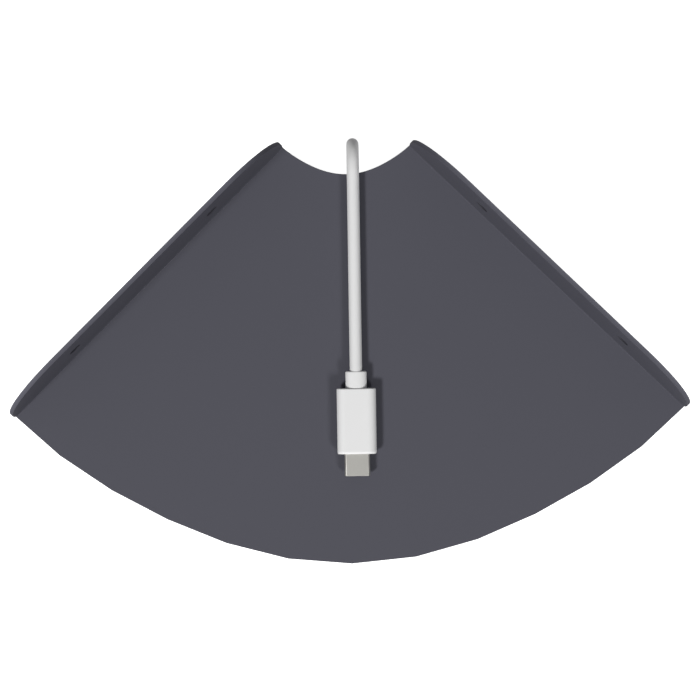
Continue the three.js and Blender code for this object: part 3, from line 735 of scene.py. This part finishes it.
def make_feet(material):
    """Rubber feet with a rounded lower edge, a ring groove and a dimple underneath."""
    edge = 0.6 * MM
    groove = 0.25 * MM
    steps = 8
    for foot in FEET:
        low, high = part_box(foot)
        radius = (high.x - low.x) / 2
        profile = [(share * radius, groove if cut else 0) for share, cut in FOOT_SOLE]
        profile += [(radius - edge * (1 - math.sin(angle)), edge * (1 - math.cos(angle)))
                    for angle in (math.pi / 2 * i / steps for i in range(steps + 1))]
        profile += [(radius, high.z), (0, high.z)]
        piece = turned(profile, sides=72)
        piece.data.transform(Matrix.Translation((*middle(foot).xy, 0)))
        finished(piece, foot + "_skin", material, [foot])


def plus_sign(reach, width, height):
    quarter = ((reach, -width), (reach, width), (width, width))
    points = []
    for turn in range(4):
        spin = Matrix.Rotation(turn * math.pi / 2, 2)
        points += [(*(spin @ Vector(point)), height) for point in quarter]
    return points


# a screw head's crown, as shares of its radius and of its height
SCREW_CROWN = ((0, 0), (0.62, 0), (0.84, 0.08), (0.96, 0.28), (1, 0.5), (1, 1))
# its cross recess, just outside the head and at the bottom: reach and half an arm's width as
# shares of the radius, and depth as a share of the height
SCREW_RECESS = ((0.62, 0.15, -0.2), (0.5, 0.11, 0.5))
THREAD_DEPTH = 0.25      # as a share of the pitch, like the ridge's foot and crest below
RIDGE_FOOT = (0.2, 0.9)
RIDGE_CREST = (0.5, 0.6)


def threaded(core, shank, start, pitch, turns):
    """The (radius, height) pairs of a shank's ridges, from a height on."""
    profile = []
    for i in range(turns):
        foot_start, foot_end = (start + (i + share) * pitch for share in RIDGE_FOOT)
        crest_start, crest_end = (start + (i + share) * pitch for share in RIDGE_CREST)
        profile += [(core, foot_start), (shank, crest_start), (shank, crest_end), (core, foot_end)]
    return profile


def make_screw(node, head_height, shank, pitch, head_up, material):
    """A pan-head screw in its node's box, with a cross recess and a ridged shank."""
    low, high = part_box(node)
    head = (high.x - low.x) / 2
    length = high.z - low.z
    core = shank - THREAD_DEPTH * pitch
    turns = int((length - head_height - shank) / pitch)
    screw = turned([*((x * head, z * head_height) for x, z in SCREW_CROWN), (core, head_height),
                    *threaded(core, shank, head_height, pitch, turns),
                    (core, length - shank), (0, length)], sides=32)
    recess = lofted([plus_sign(reach * head, width * head, depth * head_height)
                     for reach, width, depth in SCREW_RECESS])
    combined(screw, [recess], "DIFFERENCE")
    turn = Matrix.Rotation(math.pi if head_up else 0, 4, "X")
    base = high.z if head_up else low.z
    screw.data.transform(Matrix.Translation((*middle(node).xy, base)) @ turn)
    finished(screw, node + "_skin", material, [node],
             smooth=30 * DEGREE)


def make_screws(material):
    for node in CASE_SCREWS:
        make_screw(node, CASE_HEAD, CASE_SHANK, CASE_PITCH, False, material)
    for node in CARRIER_SCREWS:
        make_screw(node, SMALL_HEAD, SMALL_SHANK, SMALL_PITCH, False, material)
    for node in (*BOARD_SCREWS, *CLAMP_SCREWS):
        make_screw(node, SMALL_HEAD, SMALL_SHANK, SMALL_PITCH, True, material)


# ---- inside the housing ------------------------------------------------------------------

def softened(node, width, finishes, slot, segments=2, cutters=()):
    """A copy of a CAD solid with its flat faces whole and its edges rounded."""
    bm = bmesh.new()
    bm.from_mesh(frame["nodes"][node].data)
    bmesh.ops.remove_doubles(bm, verts=bm.verts, dist=0.001 * MM)
    bmesh.ops.dissolve_limit(bm, angle_limit=DEGREE, verts=bm.verts, edges=bm.edges)
    piece = bevelled(piece_from(bm, node), width, segments)
    if cutters:
        combined(piece, cutters, "DIFFERENCE")
    finished(piece, node + "_skin", finishes[slot], [node])
    return weighted(piece)


def wire_along(points, radius, name, roundness):
    """A round wire with closed ends along points, as a curve."""
    curve = bpy.data.curves.new(name, "CURVE")
    curve.dimensions = "3D"
    curve.bevel_depth = radius
    curve.bevel_resolution = roundness
    curve.use_fill_caps = True
    spline = curve.splines.new("POLY")
    spline.points.add(len(points) - 1)
    for point, place in zip(spline.points, points):
        point.co = (*place, 1.0)
    spline.use_smooth = True
    wire = bpy.data.objects.new(name, curve)
    bpy.context.scene.collection.objects.link(wire)
    return wire


def as_mesh(curve):
    """A mesh piece in the place of a curve."""
    graph = bpy.context.evaluated_depsgraph_get()
    mesh = bpy.data.meshes.new_from_object(curve.evaluated_get(graph))
    piece = bpy.data.objects.new(curve.name, mesh)
    bpy.data.objects.remove(curve)
    bpy.context.scene.collection.objects.link(piece)
    return piece


COIL_TURNS = 6
COIL_STEPS = 72          # in one turn
COIL_INNER = 10.5 * MM
WIRE_SHARE = 0.97        # how much of the room between two turns the wire takes up


def make_coil(material):
    """A flat spiral of round wire from its inner to its outer radius."""
    low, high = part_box("charging_coil")
    centre = (low + high) / 2
    steps = COIL_STEPS * COIL_TURNS
    outer = (high.x - low.x) / 2
    inner = COIL_INNER
    wire = (outer - inner) / (2 * COIL_TURNS + 2)      # radius, with the turns side by side
    points = []
    for i in range(steps + 1):
        angle = 2 * math.pi * COIL_TURNS * i / steps
        radius = inner + wire + (outer - inner - 2 * wire) * i / steps
        points.append(centre + Vector((radius * math.cos(angle), radius * math.sin(angle), 0)))
    coil = as_mesh(wire_along(points, WIRE_SHARE * wire, "coil", roundness=4))
    finished(coil, "charging_coil_skin", material, ["charging_coil"])


def chip_dot(node):
    """The small round dimple that marks a chip's first contact."""
    low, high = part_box(node)
    radius = 0.3 * MM
    depth = 0.12 * MM
    inset = 0.9 * MM
    place = (low.x + inset, high.y - inset)
    return rod(radius, high.z - depth, high.z + OVERLAP, place, sides=24)


def make_electronics(finishes):
    softened("control_board", 0.15 * MM, finishes, "board_laminate")
    for node in ("charge_controller", "bridge_mosfet_1", "bridge_mosfet_2"):
        softened(node, 0.1 * MM, finishes, "chip_black", cutters=[chip_dot(node)])
    softened("input_inductor", 0.6 * MM, finishes, "ferrite", segments=4)
    for node in ("input_capacitor", *(f"resonant_capacitor_{i}" for i in range(1, 5))):
        softened(node, 0.2 * MM, finishes, "capacitor_ceramic", segments=3)
    softened("ferrite_disc", 0.25 * MM, finishes, "ferrite")
    for node in ("coil_carrier", "cord_clamp"):
        softened(node, 0.25 * MM, finishes, "carrier_plastic")


# ---- cord and plug -----------------------------------------------------------------------

# for the grip and the sleeve: how deep the oval's round sides are, the roundings of the rear and
# front ends, the sides' share of the front one, and how far the body reaches on to the next
GRIP = (2.8 * MM, 0.4 * MM, 0.9 * MM, 0.35, 0)
SLEEVE = (3.1 * MM, 0.5 * MM, 0.3 * MM, 1, 0.27 * MM)
SHELL_WALL = 0.25 * MM
SHELL_LIP = 0.12 * MM
SHELL_SIDES = 0.6        # how deep the shell's round sides are, as a share of half its height


def smooth_route(points, per_span):
    """Points along a Catmull-Rom curve through the given ones."""
    ends = [points[0] * 2 - points[1], *points, points[-1] * 2 - points[-2]]
    route = []
    for a, b, c, d in zip(ends, ends[1:], ends[2:], ends[3:]):
        for i in range(per_span):
            t = i / per_span
            route.append(0.5 * (2 * b + (c - a) * t + (2 * a - 5 * b + 4 * c - d) * t ** 2
                                + (3 * b - a - 3 * c + d) * t ** 3))
    return [*route, points[-1]]


def make_cord(material):
    route = smooth_route([Vector(point) for point in CORD_ROUTE], per_span=6)
    route[0] += (route[0] - route[1]).normalized() * CORD_END
    route[-1] += (route[-1] - route[-2]).normalized() * CORD_END
    cord = wire_along(route, CORD_RADIUS, "cord", roundness=10)
    finished(cord, "cord_skin", material, ["cord"])
    length = sum((b - a).length for a, b in zip(route, route[1:]))
    return cord, length


def stadium(width, height, across, steps=24):
    """Points round a flat-topped oval whose ends are half ellipses, each `across` deep."""
    points = []
    for side in (1, -1):
        for i in range(2 * steps + 1):
            angle = math.pi * (i / (2 * steps) - 0.5)
            x = width / 2 - across + across * math.cos(angle)
            points.append((side * x, side * height / 2 * math.sin(angle)))
    return points


def along_plug(sections, centre, name):
    """A solid whose (width, height, end depth, y) sections follow each other along y."""
    rings = [[(centre.x + x, y, centre.z + z) for x, z in stadium(width, height, across)]
             for width, height, across, y in sections]
    return lofted(rings, name)


def eased_end(width, height, across, end, inwards, edge, sides=1, steps=6):
    """Sections that round off one end of a plug body; `sides` is its sides' share of that."""
    sections = []
    for i in range(steps + 1):
        angle = math.pi / 2 * i / steps
        inset = edge * (1 - math.sin(angle))
        y = end + inwards * edge * (1 - math.cos(angle))
        aside = sides * inset
        sections.append((width - 2 * aside, height - 2 * inset, across - aside, y))
    return sections


def plug_body(node, across, rear_edge, front_edge, sides, reach, name):
    """A grip or sleeve in its node's box, with the sizes that GRIP and SLEEVE give."""
    low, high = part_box(node)
    width, height = high.x - low.x, high.z - low.z
    rear = eased_end(width, height, across, high.y, -1, rear_edge)
    front = eased_end(width, height, across, low.y - reach, 1, front_edge, sides)
    return along_plug([*rear, *reversed(front)], (low + high) / 2, name)


def make_overmold(material):
    body = plug_body("plug_overmold", *GRIP, "overmold")
    finished(body, "overmold_skin", material, ["plug_overmold"],
             smooth=60 * DEGREE)
    return weighted(body)


def make_sleeve(material):
    body = plug_body("plug_sleeve", *SLEEVE, "sleeve")
    finished(body, "sleeve_skin", material, ["plug_sleeve"],
             smooth=60 * DEGREE)
    return weighted(body)


def make_shell(material):
    """The metal shell, with an open mouth whose rim is rounded outside and flared inside."""
    low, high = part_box("plug_shell")
    width, height = high.x - low.x, high.z - low.z
    centre = (low + high) / 2
    wall, lip = SHELL_WALL, SHELL_LIP
    outer = SHELL_SIDES * height / 2
    inner = outer - wall
    front = eased_end(width, height, outer, low.y, 1, lip, steps=4)
    rear = (width, height, outer, high.y + CLEARANCE)
    shell = along_plug([rear, *reversed(front)], centre, "shell")
    mouth = along_plug([
        (width - 2 * wall, height - 2 * wall, inner, high.y - wall),
        (width - 2 * wall, height - 2 * wall, inner, low.y + lip),
        (width - wall, height - wall, inner + wall / 2, low.y - lip)], centre, "cutter")
    combined(shell, [mouth], "DIFFERENCE")
    finished(shell, "shell_skin", material, ["plug_shell"],
             smooth=50 * DEGREE)
    return weighted(shell)


GLAND_TIP = 2.7 * MM
GLAND_NECK = 3 * MM
GLAND_EDGE = 0.3 * MM
GLAND_STANDS = 1.2 * MM        # from the housing's back wall to the outer shoulder
GLAND_GRIP = 3.5 * MM          # the neck's length, through that curved wall
GLAND_COLLAR = 2 * MM          # between the outer shoulder and the first groove
GLAND_NOSE = 1.2 * MM          # the smooth end behind the last one
GLAND_GROOVES = 6
# where a groove's steps are, as shares of its pitch, and how deep
GLAND_STEPS = ((0.0, 0), (0.5, 0), (0.6, 0.45 * MM), (0.9, 0.45 * MM))


def make_gland(material):
    """The strain relief: a shoulder at the wall, then a taper cut by rings of grooves."""
    low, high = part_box("cord_gland")
    centre = (low + high) / 2
    flange = (high.x - low.x) / 2
    eased = flange - GLAND_EDGE
    shoulder = CORNER_Y - PAN_NOTCH_RADIUS + GLAND_STANDS
    wall_face = shoulder - GLAND_GRIP
    taper_start = shoulder + GLAND_COLLAR
    nose = high.y - GLAND_NOSE
    profile = [(0, low.y), (eased, low.y), (flange, low.y + GLAND_EDGE),
               (flange, wall_face), (GLAND_NECK, wall_face), (GLAND_NECK, shoulder),
               (eased, shoulder), (flange, shoulder + GLAND_EDGE)]
    pitch = (nose - taper_start) / GLAND_GROOVES
    for i in range(GLAND_GROOVES):
        for share, depth in GLAND_STEPS:
            y = taper_start + (i + share) * pitch
            slope = (y - shoulder) / (high.y - shoulder)
            profile.append((eased + (GLAND_TIP - eased) * slope - depth, y))
    profile += [(GLAND_TIP, nose), (GLAND_TIP, high.y - GLAND_EDGE),
                (GLAND_TIP - GLAND_EDGE, high.y), (0, high.y)]
    gland = turned(profile, name="gland")
    gland.data.transform(Matrix.Rotation(-math.pi / 2, 4, "X"))
    gland.data.transform(Matrix.Translation((centre.x, 0, centre.z)))
    return finished(gland, "gland_skin", material, ["cord_gland"],
                    smooth=30 * DEGREE)


# ---- building it -------------------------------------------------------------------------

def make_finishes():
    return {
        "tray_plastic": tray_plastic(),
        "pan_plastic": moulded("pan_plastic", (0.06, 0.06, 0.072), roughness=(0.6, 0.7)),
        "foot_rubber": moulded("foot_rubber", (0.012, 0.012, 0.013), roughness=(0.75, 0.9)),
        "screw_steel": moulded("screw_steel", (0.45, 0.44, 0.42), metallic=1.0,
                               roughness=(0.3, 0.4), depth=0.004 * MM),
        "plug_steel": moulded("plug_steel", (0.56, 0.55, 0.52), metallic=1.0,
                              roughness=(0.5, 0.58), depth=0.003 * MM, spread=0.02),
        "coil_copper": moulded("coil_copper", (0.55, 0.2, 0.08), metallic=1.0,
                               roughness=(0.3, 0.4), depth=0.004 * MM),
        "ferrite": moulded("ferrite", (0.03, 0.031, 0.034), roughness=(0.45, 0.6)),
        "carrier_plastic": moulded("carrier_plastic", (0.02, 0.02, 0.024)),
        "board_laminate": moulded("board_laminate", (0.01, 0.1, 0.04), roughness=(0.3, 0.4)),
        "chip_black": moulded("chip_black", (0.012, 0.012, 0.013), roughness=(0.5, 0.6)),
        "capacitor_ceramic": moulded("capacitor_ceramic", (0.35, 0.22, 0.11),
                                     roughness=(0.35, 0.45)),
        "cord_white": moulded("cord_white", (0.8, 0.8, 0.8), spread=0.015,
                              roughness=(0.52, 0.6), grain=3000.0, depth=0.006 * MM,
                              specular=0.3),
        "plug_white": moulded("plug_white", (0.82, 0.82, 0.82), spread=0.012,
                              roughness=(0.5, 0.58), grain=3000.0, depth=0.006 * MM,
                              specular=0.3),
        "wire_red": moulded("wire_red", (0.4, 0.02, 0.02), roughness=(0.4, 0.5)),
    }


def finish_kept_nodes(finishes):
    """Gives every CAD node the procedural finish of its slot."""
    slots = {entry["node"]: entry["material_slot"] for entry in frame["record"]["subparts"]}
    for node, slot in slots.items():
        materials = frame["nodes"][node].data.materials
        materials.clear()
        materials.append(finishes[slot])


bpy.context.scene.view_settings.view_transform = "Standard"
make_camera()
finishes = make_finishes()
finish_kept_nodes(finishes)
cord, cord_length = make_cord(finishes["cord_white"])
sleeve = make_sleeve(finishes["plug_white"])
overmold = make_overmold(finishes["plug_white"])
shell = make_shell(finishes["plug_steel"])
make_gland(finishes["plug_white"])
make_tray(finishes["tray_plastic"])
make_pan(finishes["pan_plastic"])
make_feet(finishes["foot_rubber"])
make_screws(finishes["screw_steel"])
make_coil(finishes["coil_copper"])
make_electronics(finishes)
make_floor()
make_world(AMBIENT, FLOOR_LIGHT)
make_light("key", *KEY)
make_light("second", *SECOND)
